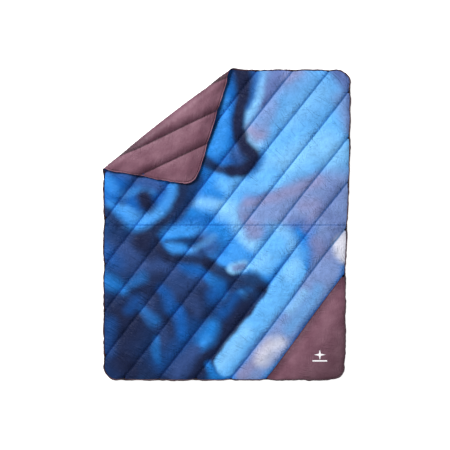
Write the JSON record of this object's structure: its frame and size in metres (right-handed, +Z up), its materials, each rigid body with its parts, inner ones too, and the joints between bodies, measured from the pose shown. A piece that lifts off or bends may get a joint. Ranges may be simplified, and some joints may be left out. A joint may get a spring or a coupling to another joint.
{
  "type": "camp blanket",
  "caption": "Quilted down-filled camp blanket, rectangular with rounded corners, lying flat with one corner turned back over its printed face.",
  "frame": {"origin": "on the ground, under the middle of the spread blanket", "axes": "+X across the blanket, +Y along it towards the end with the turned corner, +Z up out of the printed face"},
  "size_m": [1.45, 1.83, 0.064],
  "materials": {
    "printed_fabric": "thin woven shell, printed, slight sheen",
    "lining_fabric": "thin woven shell, plain, slight sheen",
    "down": "loose fluffy filling",
    "thread": "fine sewing thread",
    "mark_print": "thin matt print"
  },
  "bodies": {
    "lower_half": {"back_lower": "lining_fabric", "corner_mark": "mark_print", "down_lower_04": "down", "down_lower_05": "down", "down_lower_06": "down", "down_lower_07": "down", "down_lower_08": "down", "down_lower_09": "down", "down_lower_10": "down", "down_lower_11": "down", "down_lower_12": "down", "edge_thread_lower": "thread", "face_corner_panel": "lining_fabric", "face_lower_panel": "printed_fabric", "quilt_thread_lower": "thread", "seam_thread_lower": "thread"},
    "upper_half": {"back_upper": "lining_fabric", "corner_fold_roll": "lining_fabric", "down_upper_03": "down", "down_upper_04": "down", "down_upper_05": "down", "down_upper_06": "down", "down_upper_07": "down", "down_upper_08": "down", "down_upper_09": "down", "down_upper_10": "down", "edge_thread_upper": "thread", "face_upper_panel": "printed_fabric", "quilt_thread_upper": "thread", "seam_thread_upper": "thread"},
    "turned_corner": {"back_corner": "lining_fabric", "down_corner_01": "down", "down_corner_02": "down", "down_corner_03": "down", "edge_thread_corner": "thread", "face_turned_corner": "printed_fabric", "quilt_thread_corner": "thread"}
  },
  "joints": [
    {"name": "middle_fold", "type": "hinge", "parent": "lower_half", "child": "upper_half", "pos_m": [0, 0, 0.032], "axis": [1, 0, 0], "range_deg": [0, 165]},
    {"name": "corner_fold", "type": "hinge", "parent": "upper_half", "child": "turned_corner", "pos_m": [-0.43589, 0.55791, 0.032], "axis": [-0.788, -0.6157, 0], "range_deg": [0, 180], "deforming": ["corner_fold_roll"]}
  ]
}
